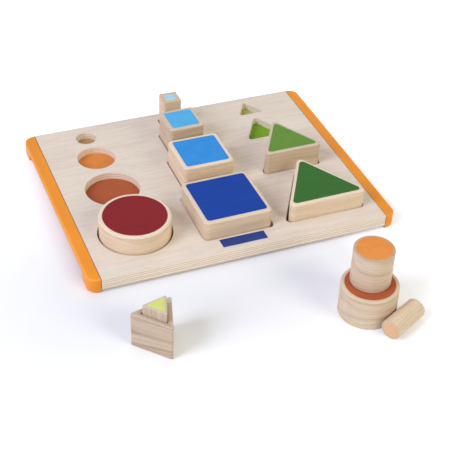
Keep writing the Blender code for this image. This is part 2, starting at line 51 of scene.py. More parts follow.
# Wells: each column's middle from left to right, then for each size its row's middle from front
# to back, half its width and the radius of its corners
COLUMN_X = {"round": -116.776 * MM, "square": -1.376 * MM, "triangle": 111.95 * MM}
ROW_Y = {1: 217.906 * MM, 2: 170.506 * MM, 3: 100.597 * MM, 4: 10.474 * MM}
WELL_HALF = {1: 13.1 * MM, 2: 24.199 * MM, 3: 33.948 * MM, 4: 44.6 * MM}
TRIANGLE_ROW_Y = {1: 215.065 * MM, 2: 163.207 * MM, 3: 91.201 * MM, 4: -2.068 * MM}
TRIANGLE_WELL_HALF = {1: 10.26 * MM, 2: 16.9 * MM, 3: 24.553 * MM, 4: 32.058 * MM}
WELL_CORNER = {1: 3.0 * MM, 2: 4.0 * MM, 3: 5.0 * MM, 4: 6.0 * MM}
WELLS = [(shape, size) for shape in COLUMN_X for size in ROW_Y]

# Blocks: half width across the flats, height, corner radius and round-over of each size
BLOCK_HALF = {1: 11.8 * MM, 2: 22.899 * MM, 3: 32.648 * MM, 4: 42.75 * MM}
TRIANGLE_HALF = {1: 8.95 * MM, 2: 15.33 * MM, 3: 23.673 * MM, 4: 30.888 * MM}
BLOCK_HEIGHT = {1: 49.4 * MM, 2: 44.6 * MM, 3: 39.8 * MM, 4: 33.2 * MM}
SQUARE_CORNER = {1: 2.2 * MM, 2: 4.0 * MM, 3: 5.0 * MM, 4: 6.0 * MM}
TRIANGLE_CORNER = {1: 1.2 * MM, 2: 2.0 * MM, 3: 5.0 * MM, 4: 6.0 * MM}
TOP_ROUND_OVER = {1: 0.9 * MM, 2: 1.3 * MM, 3: 1.8 * MM, 4: 2.2 * MM}
RIM_ROUND_OVER = 0.8 * MM
# How much of the top's round-over is rubbed bare
RUBBED_SHARE = 0.6

# Pocket beneath a block: the wood left over it, and the room round the next smaller block
TOP_PLATE = 7.0 * MM
NEST_CLEARANCE = 0.9 * MM
POCKET_MOUTH_EASE = 0.6 * MM

# Coats of paint: the wood left bare round each top's coat, and its corners beside the block's
PAINT_THICKNESS = 0.35 * MM
PAINT_EDGE = 0.12 * MM
PAINT_EDGE_STEPS = 2
PAINT_RIM = 0.9 * MM
PAINT_MARGIN = {
    "round": {1: 3.3 * MM, 2: 3.0 * MM, 3: 4.1 * MM, 4: 4.5 * MM},
    "square": {1: 4.5 * MM, 2: 4.5 * MM, 3: 4.5 * MM, 4: 4.5 * MM},
    "triangle": {1: 2.2 * MM, 2: 2.4 * MM, 3: 3.5 * MM, 4: 3.8 * MM},
}
PAINT_CORNER_SHARE = {1: 1.25, 2: 0.8, 3: 0.7, 4: 0.7}

# Where each block stands, how it is tipped and how it is turned. In a well it stands on the paint.
SEAT = BACKING_TOP + GAP + PAINT_THICKNESS + GAP
PLACES = {
    "round_4": ((-116.776 * MM, 10.474 * MM, SEAT), 0.0, 0.0),
    "square_4": ((-2.856 * MM, 10.289 * MM, SEAT), 0.0, radians(0.5)),
    "square_3": ((-1.246 * MM, 101.637 * MM, SEAT), 0.0, 0.0),
    "square_2": ((-1.506 * MM, 171.286 * MM, SEAT), 0.0, radians(1.0)),
    "square_1": ((-1.116 * MM, 217.776 * MM, SEAT), 0.0, 0.0),
    "triangle_4": ((113.003 * MM, -2.77 * MM, SEAT), 0.0, radians(0.4)),
    "triangle_3": ((111.686 * MM, 90.585 * MM, SEAT), 0.0, 0.0),
    "round_3": ((90.324 * MM, -185.526 * MM, 0.0), 0.0, 0.0),
    "round_2": ((92.524 * MM, -180.726 * MM, BLOCK_HEIGHT[3] + GAP), 0.0, 0.0),
    "round_1": ((137.016 * MM, -211.842 * MM, BLOCK_HALF[1]), pi / 2, radians(-62.8)),
    "triangle_2": ((-146.177 * MM, -158.926 * MM, BLOCK_HEIGHT[2]), pi, radians(13.2)),
    "triangle_1": ((-145.996 * MM, -159.826 * MM, TOP_PLATE + GAP), 0.0, radians(-46.8)),
}

# Rails
RAIL_WIDTH = 14.8 * MM
RAIL_OUTER_CORNER = 12.0 * MM
RAIL_ROUND_OVER = 2.0 * MM
# How round a rail's edges are at the board, beside its other edges
RAIL_SEAM_SHARE = 0.2
FOOT_LENGTH = 29.0 * MM
ARCH_HEIGHT = 10.0 * MM
ARCH_CORNER = 5.0 * MM
FOOT_CORNER = 4.5 * MM

# Blue plate in front of the middle wells
PLATE_X = -1.376 * MM
PLATE_Y = -44.826 * MM
PLATE_WIDTH = 57.4 * MM
PLATE_DEPTH = 15.8 * MM
PLATE_THICKNESS = 0.6 * MM
PLATE_CORNER = 1.2 * MM
PLATE_BORDER = 0.5 * MM
PLATE_TOP = 19.3 * MM

# Fineness of the curves
ROUND_STEPS = 96
CORNER_STEPS = 8
EDGE_STEPS = 4
# How far the last step of a cutter's flare runs on past the face, as a share of that step
FLARE_RUN_ON = 0.5
# A bevel with this profile rounds a 60 degree corner as a true arc would, halfway round
SHARP_CORNER_PROFILE = 4 / 9
SMOOTH_ANGLE = radians(32)
# A face on a rounded upper edge points up by more than the first and less than the second
STEEP = 0.1
LEVEL = 0.99

# Colours, red, green and blue from 0 to 255 as on a screen
VENEER_LIGHT = (233, 221, 208)
VENEER_DARK = (211, 194, 179)
PLY_LONG = (244, 231, 215)
PLY_END = (216, 197, 176)
PLY_PORE = (184, 160, 136)
# Painted shade for the seam between the board and a rail
SEAM_PAINTED_SHADE = (146, 106, 70)
WOOD_LIGHT = (234, 212, 184)
WOOD_DARK = (198, 167, 140)
WOOD_FLECK = (176, 144, 114)
WOOD_WORN = (236, 218, 200)
WOOD_HANDLED = (208, 178, 140)
RAIL_PAINT = (247, 152, 38)
RAIL_WORN = (246, 172, 84)
PLATE_BLUE = (34, 60, 136)
PLATE_WHITE = (206, 210, 226)
FLOOR_DARK = (238, 239, 244)
FLOOR_LIGHT = (241, 241, 245)
BLOCK_PAINT = {
    "round_1": (230, 182, 138),
    "round_2": (236, 149, 76),
    "round_3": (182, 94, 60),
    "round_4": (136, 38, 44),
    "square_1": (170, 215, 239),
    "square_2": (89, 178, 233),
    "square_3": (57, 146, 224),
    "square_4": (27, 67, 159),
    "triangle_1": (219, 224, 130),
    "triangle_2": (128, 176, 44),
    "triangle_3": (103, 144, 61),
    "triangle_4": (57, 108, 49),
}
# How light the paint in a well is beside the same paint on its block, for each size: darker in
# the smaller, deeper wells, as painted shade from their walls
WELL_PAINTED_SHADE = {1: 0.8, 2: 0.92, 3: 0.96, 4: 0.96}
# A coat's darker and paler patches: the share of its light kept, and the share of white added
COAT_DEEP = 0.96
COAT_PALE = 0.04
RAIL_DEEP = 0.92
PLATE_DEEP = 0.9

# Each piece of solid wood: how light it is beside the palest, which is partly its own tone and
# partly painted shade, how its grain is turned, how dark its growth rings and its fine streaks are,
# the colour of its worn edges, and how close the rings lie from side to side as a share of how
# close they lie in height
Wood = namedtuple(
    "Wood",
    "shade turn rings streaks worn side",
    defaults=(ORIGIN, 0.25, 0.34, WOOD_WORN, 0.13),
)
STANDING_TURN = (0.0, 0.0, radians(21))
# square_2 and triangle_3 are darker partly as painted shade, for the blocks in front of them
BLOCK_WOOD = {
    "round_4": Wood(1.0, streaks=0.24),
    "square_4": Wood(0.95, streaks=0.2),
    "square_3": Wood(1.0, streaks=0.26),
    "square_2": Wood(0.9),
    "square_1": Wood(1.0, worn=WOOD_HANDLED),
    "triangle_4": Wood(1.0, streaks=0.2),
    "triangle_3": Wood(0.89),
    "round_3": Wood(0.94, STANDING_TURN, rings=0.3, worn=WOOD_LIGHT),
    "round_2": Wood(0.94, STANDING_TURN, rings=0.4, worn=WOOD_HANDLED),
    "round_1": Wood(0.98, (0.0, 0.0, radians(-27.2)), worn=WOOD_HANDLED, side=1.0),
    "triangle_2": Wood(0.88, (radians(8.3), 0.0, radians(46.8)), rings=0.6),
    "triangle_1": Wood(0.9, (0.0, pi / 2, 0.0)),
}
DOWEL_WOOD = Wood(1.0)
# Where in the timber the dowels are cut from, and where the blocks are: each further along than
# the last, and beside and above the heart in a few steps, so that no two show the same grain
DOWEL_STRETCH = (0.2, 0.1, 0.0)
BLOCK_ALONG_STEP = 0.37
BLOCK_BESIDE, BESIDE_STEP, BESIDE_STEPS = 0.07, 0.011, 4
BLOCK_ABOVE, ABOVE_STEP, ABOVE_STEPS = 0.05, -0.013, 5

# Patterns of noise: waves per metre along X, Y and Z, fewest along the grain, then the noise's
# detail and roughness. A pattern begins to show where its noise is low, and shows most, by its
# share, where it is high. Last come its distortion and its shift.
Pattern = namedtuple(
    "Pattern",
    "waves detail roughness low high share distortion shift",
    defaults=(0.0, 1.0, 1.0, 0.0, ORIGIN),
)
# Most of any noise lies between these two
NOISE_SPAN = (0.3, 0.7)
PLY_DRIFT = Pattern((8.0, 13.0, 13.0), 2.0, 0.5)
PLY_DRIFT_REACH = 26 * MM
PLY_STREAKS = Pattern((8.0, 170.0, 170.0), 4.0, 0.6, 0.36, 0.66, 0.36)
PLY_CLOUDS = Pattern((9.0, 30.0, 30.0), 3.0, 0.5, 0.34, 0.66, 0.24, shift=(0.3, 0.9, 0.4))
PLY_FIBRES = Pattern((40.0, 700.0, 700.0), 3.0, 0.6, 0.46, 0.76, 0.4)
PLY_EDGE_FIBRES = PLY_FIBRES._replace(low=0.45, high=0.8, share=0.35)
PLY_EDGE_PORES = Pattern((700.0, 700.0, 900.0), 2.0, 0.6, 0.4, 0.8, 0.5)
PLY_WOBBLE = Pattern((30.0, 30.0, 30.0), 2.0, 0.5)
WOOD_DRIFT = Pattern((11.0, 22.0, 22.0), 2.0, 0.5)
WOOD_DRIFT_REACH = 15 * MM
WOOD_RINGS = Pattern((7.0, 130.0, 130.0), 2.0, 0.5, 0.42, 0.62)
WOOD_STREAKS = Pattern((12.0, 520.0, 520.0), 2.0, 0.55, 0.42, 0.64, shift=(2.0, 5.0, 1.0))
WOOD_FIBRES = Pattern((60.0, 1100.0, 1100.0), 3.0, 0.6, 0.5, 0.8, 0.25)
WOOD_FLECKS = Pattern((130.0, 1500.0, 1500.0), 1.0, 0.5, 0.66, 0.74, 0.45, shift=(3.0, 1.0, 2.0))
WOOD_CLOUDS = Pattern((16.0, 16.0, 16.0), 3.0, 0.5, *NOISE_SPAN, 0.1, 0.5)
COAT_CLOUDS = Pattern((60.0, 60.0, 60.0), 3.0, 0.55, 0.35, 0.65, distortion=0.3)
COAT_GRAIN = Pattern((40.0, 500.0, 500.0), 3.0, 0.6, 0.5, 0.75, 0.5)
COAT_STIPPLE = Pattern((1400.0, 1400.0, 1400.0), 2.0, 0.6)
COAT_CHIPS = Pattern((420.0, 420.0, 420.0), 3.0, 0.7, 0.52, 0.6, 0.3)
RAIL_CLOUDS = Pattern((30.0, 8.0, 30.0), 3.0, 0.5, *NOISE_SPAN, distortion=0.4)
RAIL_GRAIN = Pattern((420.0, 24.0, 420.0), 3.0, 0.6)
RAIL_PEEL = Pattern((900.0, 900.0, 900.0), 2.0, 0.5)
PLATE_CLOUDS = Pattern((110.0, 110.0, 110.0), 3.0, 0.5, *NOISE_SPAN, distortion=0.4)
PLATE_TOOTH = Pattern((2600.0, 2600.0, 2600.0), 2.0, 0.6)
FLOOR_CLOUDS = Pattern((1.3, 1.3, 1.3), 2.0, 0.5, *NOISE_SPAN)

# How far the plies waver, and where one gives way to the next, as shares of two plies
PLY_WAVER = 0.03
PLY_JOINT = (0.22, 0.3)
# A face that points up by less than the first shows plies, and by more than the second veneer
PLY_FACE = (0.6, 0.75)
# Painted shade in the seam between the board and a rail: how far it reaches and how much it covers
SEAM_REACH = 0.45 * MM
SEAM_SHARE = 0.9
# How much of the paint or wood is rubbed off along a worn edge, from the noise's low to its high
WOOD_RUBBED = (0.5, 0.9)
RAIL_RUBBED = (0.1, 0.6)

# Roughness from the noise's low to its high, shine, and the depth and strength of the relief
PLY_ROUGHNESS = (0.46, 0.6)
WOOD_ROUGHNESS = (0.48, 0.62)
COAT_ROUGHNESS = (0.52, 0.6)
RAIL_ROUGHNESS = (0.36, 0.48)
PLATE_ROUGHNESS = (0.36, 0.48)
BORDER_ROUGHNESS = (0.45, 0.57)
FLOOR_ROUGHNESS = 0.9
WOOD_SHINE = 0.14
COAT_SHINE = 0.08
RAIL_SHINE = 0.26
PLATE_SHINE = 0.3
FLOOR_SHINE = 0.0
WOOD_RELIEF = (0.05 * MM, 0.5)
COAT_RELIEF = (0.03 * MM, 0.4)
RAIL_RELIEF = (0.04 * MM, 0.4)
PLATE_RELIEF = (0.02 * MM, 0.3)
FLECK_RELIEF_SHARE = 0.6

# Floor
FLOOR_SIDE = 14.0
# The floor's own light rises outwards and to the right: where each rise begins and ends, in metres,
# and its light there. Outwards is measured after a place is scaled and shifted like this.
GLOW_SCALE = (0.45, 1.0, 1.0)
GLOW_SHIFT = (0.0135, 0.06, 0.0)
NEAR_GLOW = (0.055, 0.13, 0.0, 0.12)
FAR_GLOW = (0.13, 0.42, 0.0, 0.38)
RIGHT_GLOW = (0.11, 0.19, 0.0, 0.24)

# Light: the background as it is seen and as it lights, and each lamp's place, aim, side, power
# and colour
WHITE = (1.0, 1.0, 1.0, 1.0)
SURROUND = (1.0, 0.97, 0.93, 1.0)
SURROUND_STRENGTH = 0.32
COOL = (0.93, 0.985, 1.2)
WARM = (1.0, 1.0, 0.82)
MILDLY_WARM = (1.0, 1.0, 0.85)
PLAIN = (1.0, 1.0, 1.0)
LAMPS = {
    "left_softbox": ((-4.1, -0.93, 3.23), ORIGIN, 2.5, 158.0, COOL),
    "left_fill": ((-5.03, -1.16, 1.1), ORIGIN, 2.0, 24.0, COOL),
    "front_softbox": ((2.34, -3.84, 2.81), ORIGIN, 2.4, 101.0, WARM),
    "right_fill": ((4.87, -1.54, 1.37), ORIGIN, 2.0, 27.0, MILDLY_WARM),
    "top_softbox": ((0.0, 1.8, 4.4), (0.0, 0.05, 0.0), 3.2, 38.0, PLAIN),
}

# Camera: sensor and lens in millimetres, how far it sees in metres, and its turn and place
SENSOR_WIDTH = 36.0
LENS = 91.79
CLIP_END = 20.0
CAMERA_PLACE = Matrix((
    (0.9302, 0.2017, -0.3067, -0.43098),
    (-0.3656, 0.5829, -0.7257, -1.00323),
    (0.0324, 0.7872, 0.6159, 0.8596),
    (0.0, 0.0, 0.0, 1.0),
))


def screen_colour(rgb):
    """A colour from 0 to 255 as the linear values that a material takes."""
    linear = []
    for channel in rgb:
        value = channel / 255
        linear.append(value / 12.92 if value <= 0.04045 else ((value + 0.055) / 1.055) ** 2.4)
    return (*linear, 1.0)


def darkened(rgb, share):
    """A colour with just a share of its light."""
    return tuple(channel * share for channel in rgb)


class Finish:
    """A material in the making, with short calls that add a node and give what comes out of it."""

    def __init__(self, name):
        self.material = bpy.data.materials.new(name)
        self.material.use_nodes = True
        self.tree = self.material.node_tree
        self.shader = self.tree.nodes["Principled BSDF"]

    def feed(self, socket, value):
        """Link what comes out of a node to a socket, or set a plain value on it."""
        if isinstance(value, bpy.types.NodeSocket):
            self.tree.links.new(value, socket)
        else:
            socket.default_value = value

    def node(self, kind, inputs, **settings):
        """Add a node with its settings made and its inputs fed."""
        made = self.tree.nodes.new("ShaderNode" + kind)
        for name, value in settings.items():
            setattr(made, name, value)
        for name, value in inputs.items():
            self.feed(made.inputs[name], value)
        return made

    def place(self):
        """Where on the piece a point lies."""
        return self.node("TexCoord", {}).outputs["Object"]

    def axes(self, vector):
        """A place's or a direction's X, Y and Z."""
        return self.node("SeparateXYZ", {"Vector": vector}).outputs

    def worn(self):
        """1 where the piece is worn and 0 elsewhere, from the attribute of that name."""
        return self.node("Attribute", {}, attribute_name="worn").outputs["Fac"]

    def stretched(self, place, scale, shift=ORIGIN, turn=ORIGIN):
        inputs = {"Vector": place, "Location": shift, "Rotation": turn, "Scale": scale}
        return self.node("Mapping", inputs).outputs["Vector"]

    def noise(self, place, pattern, output=0):
        inputs = {
            "Vector": self.stretched(place, pattern.waves, pattern.shift),
            "Scale": 1.0,
            "Detail": pattern.detail,
            "Roughness": pattern.roughness,
            "Distortion": pattern.distortion,
        }
        return self.node("TexNoise", inputs).outputs[output]

    def drifted(self, place, pattern, reach):
        """The place moved to and fro by up to half the reach, so that straight grain turns wavy."""
        drift = self.noise(place, pattern, "Color")
        centred = self.node("VectorMath", {0: drift, 1: (0.5, 0.5, 0.5)}, operation="SUBTRACT")
        scaled = self.node("VectorMath", {0: centred.outputs[0], "Scale": reach}, operation="SCALE")
        moved = self.node("VectorMath", {0: place, 1: scaled.outputs[0]}, operation="ADD")
        return moved.outputs[0]

    def maths(self, operation, first, second=0.0, clamp=False):
        made = self.node("Math", {}, operation=operation, use_clamp=clamp)
        self.feed(made.inputs[0], first)
        self.feed(made.inputs[1], second)
        return made.outputs[0]

    def summed(self, total, *others):
        """Shares added up and held at 1."""
        for other in others:
            total = self.maths("ADD", total, other, clamp=True)
        return total

    def between(self, value, low, high, start=0.0, end=1.0):
        """start where the value is low, end where it is high, and held beyond them."""
        inputs = {"Value": value, "From Min": low, "From Max": high, "To Min": start, "To Max": end}
        return self.node("MapRange", inputs).outputs["Result"]

    def shown(self, noise, pattern):
        """How strongly a pattern shows where its noise has a given value."""
        return self.between(noise, pattern.low, pattern.high, 0.0, pattern.share)

    def mixed(self, share, first, second):
        made = self.node("Mix", {}, data_type="RGBA")
        self.feed(made.inputs[0], share)
        self.feed(made.inputs[6], first)
        self.feed(made.inputs[7], second)
        return made.outputs[2]

    def bumped(self, height, distance, strength):
        bump = self.node("Bump", {"Height": height, "Distance": distance, "Strength": strength})
        self.feed(self.shader.inputs["Normal"], bump.outputs["Normal"])

    def surface(self, colour, roughness, shine):
        self.feed(self.shader.inputs["Base Color"], colour)
        self.feed(self.shader.inputs["Roughness"], roughness)
        self.feed(self.shader.inputs["Specular IOR Level"], shine)


def plywood_finish(name, light, dark, underside):
    """Plywood: veneer with its grain from left to right, and its plies in every upright face."""
    finish = Finish(name)
    place = finish.place()
    x, _, z = finish.axes(place)
    wavy = finish.drifted(place, PLY_DRIFT, PLY_DRIFT_REACH)
    streaks = finish.noise(wavy, PLY_STREAKS)
    clouds = finish.noise(wavy, PLY_CLOUDS)
    fibres = finish.noise(wavy, PLY_FIBRES)
    tone = finish.summed(
        finish.shown(streaks, PLY_STREAKS),
        finish.shown(clouds, PLY_CLOUDS),
        finish.shown(fibres, PLY_FIBRES),
    )
    veneer = finish.mixed(tone, screen_colour(light), screen_colour(dark))

    plies = finish.maths("DIVIDE", finish.maths("SUBTRACT", z, underside), 2 * PLY_THICKNESS)
    wobble = finish.noise(place, PLY_WOBBLE)
    waver = finish.between(wobble, *NOISE_SPAN, -PLY_WAVER, PLY_WAVER)
    plies = finish.maths("ADD", plies, waver)
    across = finish.between(finish.maths("PINGPONG", plies, 0.5), *PLY_JOINT)
    fibres_show = finish.shown(fibres, PLY_EDGE_FIBRES)
    long_ply = finish.mixed(fibres_show, screen_colour(PLY_LONG), screen_colour(PLY_END))
    pores_show = finish.shown(finish.noise(place, PLY_EDGE_PORES), PLY_EDGE_PORES)
    end_ply = finish.mixed(pores_show, screen_colour(PLY_END), screen_colour(PLY_PORE))
    edge = finish.mixed(across, long_ply, end_ply)

    facing = finish.node("NewGeometry", {}).outputs["Normal"]
    upward = finish.maths("ABSOLUTE", finish.axes(facing)["Z"])
    upright = finish.between(upward, *PLY_FACE, 1.0, 0.0)
    colour = finish.mixed(upright, veneer, edge)
    # Painted shade: the veneer and plies darken at each end, in the seam beside the rails
    from_middle = finish.maths("ABSOLUTE", x)
    seam = BOARD_WIDTH / 2
    shade_at_rail = finish.between(from_middle, seam - SEAM_REACH, seam, 0.0, SEAM_SHARE)
    colour = finish.mixed(shade_at_rail, colour, screen_colour(SEAM_PAINTED_SHADE))
    finish.surface(colour, finish.between(streaks, *NOISE_SPAN, *PLY_ROUGHNESS), WOOD_SHINE)
    sunk_plies = finish.maths("MULTIPLY", across, upright)
    finish.bumped(finish.maths("SUBTRACT", fibres, sunk_plies), *WOOD_RELIEF)
    return finish.material


def solid_wood_finish(name, stretch, wood):
    """Pale solid wood with its grain along its own X axis and its growth rings in level layers.

    stretch is where in the timber the piece is cut from.
    """
    light, dark, fleck, worn = (
        screen_colour(darkened(rgb, wood.shade))
        for rgb in (WOOD_LIGHT, WOOD_DARK, WOOD_FLECK, wood.worn)
    )

    def cut(pattern, **changes):
        """A pattern as it lies in this piece, with its waves from side to side drawn out."""
        along, beside, above = pattern.waves
        return pattern._replace(waves=(along, beside * wood.side, above), **changes)

    finish = Finish(name)
    place = finish.stretched(finish.place(), (1.0, 1.0, 1.0), stretch, wood.turn)
    wavy = finish.drifted(place, WOOD_DRIFT, WOOD_DRIFT_REACH)
    ring_pattern = cut(WOOD_RINGS, share=wood.rings)
    streak_pattern = cut(WOOD_STREAKS, share=wood.streaks)
    rings = finish.noise(wavy, ring_pattern)
    streaks = finish.noise(wavy, streak_pattern)
    fibres = finish.noise(place, cut(WOOD_FIBRES))
    flecks = finish.noise(place, WOOD_FLECKS)
    clouds = finish.noise(place, WOOD_CLOUDS)
    tone = finish.summed(
        finish.shown(rings, ring_pattern),
        finish.shown(streaks, streak_pattern),
        finish.shown(clouds, WOOD_CLOUDS),
        finish.shown(fibres, WOOD_FIBRES),
    )
    colour = finish.mixed(tone, light, dark)
    colour = finish.mixed(finish.shown(flecks, WOOD_FLECKS), colour, fleck)
    rubbed = finish.between(clouds, *NOISE_SPAN, *WOOD_RUBBED)
    colour = finish.mixed(finish.maths("MULTIPLY", finish.worn(), rubbed), colour, worn)
    finish.surface(colour, finish.between(streaks, *NOISE_SPAN, *WOOD_ROUGHNESS), WOOD_SHINE)
    raised_flecks = finish.maths("MULTIPLY", flecks, FLECK_RELIEF_SHARE)
    finish.bumped(finish.maths("ADD", fibres, raised_flecks), *WOOD_RELIEF)
    return finish.material


def block_paint_finish(name, rgb):
    """Matt paint on wood, almost even, with the grain showing through in its relief."""
    finish = Finish(name)
    place = finish.place()
    clouds = finish.noise(place, COAT_CLOUDS)
    grain = finish.noise(place, COAT_GRAIN)
    stipple = finish.noise(place, COAT_STIPPLE)
    deep = darkened(rgb, COAT_DEEP)
    pale = tuple(channel + (255 - channel) * COAT_PALE for channel in rgb)
    clouds_show = finish.shown(clouds, COAT_CLOUDS)
    colour = finish.mixed(clouds_show, screen_colour(deep), screen_colour(rgb))
    colour = finish.mixed(finish.shown(grain, COAT_GRAIN), colour, screen_colour(pale))
    chips = finish.shown(finish.noise(place, COAT_CHIPS), COAT_CHIPS)
    rubbed = finish.maths("MULTIPLY", finish.worn(), chips)
    colour = finish.mixed(rubbed, colour, screen_colour(WOOD_LIGHT))
    finish.surface(colour, finish.between(clouds, *NOISE_SPAN, *COAT_ROUGHNESS), COAT_SHINE)
    finish.bumped(finish.maths("ADD", stipple, grain), *COAT_RELIEF)
    return finish.material


def rail_paint_finish(name):
    """Satin orange paint, lighter where the rounded edges have been rubbed."""
    finish = Finish(name)
    place = finish.place()
    clouds = finish.noise(place, RAIL_CLOUDS)
    grain = finish.noise(place, RAIL_GRAIN)
    peel = finish.noise(place, RAIL_PEEL)
    deep = darkened(RAIL_PAINT, RAIL_DEEP)
    clouds_show = finish.shown(clouds, RAIL_CLOUDS)
    colour = finish.mixed(clouds_show, screen_colour(deep), screen_colour(RAIL_PAINT))
    rubbed = finish.between(clouds, *NOISE_SPAN, *RAIL_RUBBED)
    rubbed = finish.maths("MULTIPLY", finish.worn(), rubbed)
    colour = finish.mixed(rubbed, colour, screen_colour(RAIL_WORN))
    # Painted shade: the paint darkens in the seam along the side that meets the board
    from_middle = finish.maths("ABSOLUTE", finish.axes(place)["X"])
    seam = BOARD_WIDTH / 2 + GAP
    shade_at_board = finish.between(from_middle, seam, seam + SEAM_REACH, SEAM_SHARE, 0.0)
    colour = finish.mixed(shade_at_board, colour, screen_colour(SEAM_PAINTED_SHADE))
    finish.surface(colour, finish.between(grain, *NOISE_SPAN, *RAIL_ROUGHNESS), RAIL_SHINE)
    finish.bumped(finish.maths("ADD", peel, grain), *RAIL_RELIEF)
    return finish.material


def plate_finish(name, rgb, roughness):
    """Thin plate: an even tone with a fine tooth and faint smudges in its gloss."""
    finish = Finish(name)
    place = finish.place()
    clouds = finish.noise(place, PLATE_CLOUDS)
    deep = darkened(rgb, PLATE_DEEP)
    clouds_show = finish.shown(clouds, PLATE_CLOUDS)
    colour = finish.mixed(clouds_show, screen_colour(deep), screen_colour(rgb))
    finish.surface(colour, finish.between(clouds, *NOISE_SPAN, *roughness), PLATE_SHINE)
    finish.bumped(finish.noise(place, PLATE_TOOTH), *PLATE_RELIEF)
    return finish.material


def let_go():
    """Nothing open and nothing selected."""
    if bpy.context.mode != "OBJECT":
        bpy.ops.object.mode_set(mode="OBJECT")
    bpy.ops.object.select_all(action="DESELECT")


def hold(piece):
    """Only this piece selected, and active."""
    let_go()
    piece.select_set(True)
    bpy.context.view_layer.objects.active = piece


def open_up(piece, kind):
    """Open a piece for editing with nothing selected, and give its mesh."""
    hold(piece)
    bpy.ops.object.mode_set(mode="EDIT")
    bpy.ops.mesh.select_mode(type=kind)
    bpy.ops.mesh.select_all(action="DESELECT")
    return bmesh.from_edit_mesh(piece.data)


def pick(piece, kind, wanted):
    """Open a piece for editing with only the wanted edges or faces selected."""
    mesh = open_up(piece, kind)
    for item in mesh.edges if kind == "EDGE" else mesh.faces:
        if wanted(item):
            item.select_set(True)
    bmesh.update_edit_mesh(piece.data)


def is_upright(edge):
    low, high = edge.verts
    return abs(low.co.x - high.co.x) + abs(low.co.y - high.co.y) < TOUCH


def is_square_to(edge, axis):
    """Whether both ends of an edge lie equally far along an axis."""
    first, last = edge.verts
    return abs(first.co[axis] - last.co[axis]) < THIN_GAP


def lies_at(height):
    """A test for edges and faces that lie level at a height."""
    return lambda item: all(abs(vert.co.z - height) < TOUCH for vert in item.verts)


def mark_worn(piece, is_worn, afresh=False):
    """Mark where an open piece is worn, on top of earlier marks or, afresh, in place of them."""
    mesh = bmesh.from_edit_mesh(piece.data)
    marks = mesh.verts.layers.float.get("worn") or mesh.verts.layers.float.new("worn")
    for vert in mesh.verts:
        if is_worn(vert):
            vert[marks] = 1.0
        elif afresh:
            vert[marks] = 0.0
    bmesh.update_edit_mesh(piece.data)
    let_go()


def round_picked_edges(piece, width, steps):
    """Round the selected edges and mark what they become as worn."""
    bpy.ops.mesh.bevel(offset=width, segments=steps, affect="EDGES", clamp_overlap=False)
    mark_worn(piece, lambda vert: all(face.select for face in vert.link_faces))


def keep_as(name):
    """Name the primitive just added, and keep its place and size in its mesh."""
    blank = bpy.context.object
    blank.name = name
    blank.data.name = name
    bpy.ops.object.transform_apply(location=True, rotation=True, scale=True)
    return blank


def upright_blank(name, shape, half, corner, height):
    """A round, square or triangular blank that stands at the origin, its corners rounded."""
    let_go()
    middle = (0.0, 0.0, height / 2)
    if shape == "round":
        bpy.ops.mesh.primitive_cylinder_add(
            vertices=ROUND_STEPS, radius=half, depth=height, location=middle
        )
        return keep_as(name)
    if shape == "triangle":
        # Its corners lie twice as far from its middle as its sides
        bpy.ops.mesh.primitive_cylinder_add(
            vertices=3, radius=2 * half, depth=height, location=middle
        )
        blank = keep_as(name)
        pick(blank, "EDGE", is_upright)
        reach = corner / tan(radians(30))
        bpy.ops.mesh.bevel(offset=reach, segments=CORNER_STEPS, profile=SHARP_CORNER_PROFILE)
    else:
        bpy.ops.mesh.primitive_cube_add(size=1.0, location=middle)
        bpy.ops.transform.resize(value=(2 * half, 2 * half, height))
        blank = keep_as(name)
        pick(blank, "EDGE", is_upright)
        bpy.ops.mesh.bevel(offset=corner, segments=CORNER_STEPS)
    let_go()
    return blank


def slab_blank(name, width, depth, low, high, x, y):
    """A slab between two heights, with its middle at x and y."""
    let_go()
    bpy.ops.mesh.primitive_cube_add(size=1.0, location=(x, y, (low + high) / 2))
    bpy.ops.transform.resize(value=(width, depth, high - low))
    return keep_as(name)


def plate_blank(name, grow, low, high):
    """The plate's outline, grown by a little, between two heights."""
    width = PLATE_WIDTH + 2 * grow
    depth = PLATE_DEPTH + 2 * grow
    blank = slab_blank(name, width, depth, low, high, PLATE_X, PLATE_Y)
    pick(blank, "EDGE", is_upright)
    bpy.ops.mesh.bevel(offset=PLATE_CORNER + grow, segments=EDGE_STEPS)
    let_go()
    return blank


def flare_end(blank, height, half, ease, direction):
    """Widen a cutter's end in a quarter round and run it past the face that it cuts.

    The last step runs on at its own slant, so that no ring of the cutter lies in that face.
    """
    pick(blank, "FACE", lies_at(height))
    reach = half
    risen = 0.0
    for step in range(1, EDGE_STEPS + 1):
        turn = pi / 2 * step / EDGE_STEPS
        wider = half + ease * (1 - cos(turn))
        rise = ease * sin(turn)
        if step == EDGE_STEPS:
            wider += FLARE_RUN_ON * (wider - reach)
            rise += FLARE_RUN_ON * (rise - risen)
        push = (0.0, 0.0, direction * (rise - risen))
        bpy.ops.mesh.extrude_region_move(TRANSFORM_OT_translate={"value": push})
        factor = wider / reach
        bpy.ops.transform.resize(value=(factor, factor, 1.0), center_override=ORIGIN)
        reach = wider
        risen = rise
    push = (0.0, 0.0, direction * OVERRUN)
    bpy.ops.mesh.extrude_region_move(TRANSFORM_OT_translate={"value": push})
    let_go()


def carve(piece, tool):
    """Cut a tool's shape out of a piece, and throw the tool away."""
    boolean = piece.modifiers.new("carve", "BOOLEAN")
    boolean.operation = "DIFFERENCE"
    boolean.solver = "EXACT"
    boolean.object = tool
    hold(piece)
    bpy.ops.object.modifier_apply(modifier="carve")
    bpy.data.objects.remove(tool)


def move_to(piece, place, tip=0.0, turn=0.0):
    """Tip, turn and move a piece, and keep that in its mesh."""
    hold(piece)
    piece.rotation_euler = (tip, 0.0, turn)
    piece.location = place
    bpy.ops.object.transform_apply(location=True, rotation=True, scale=True)


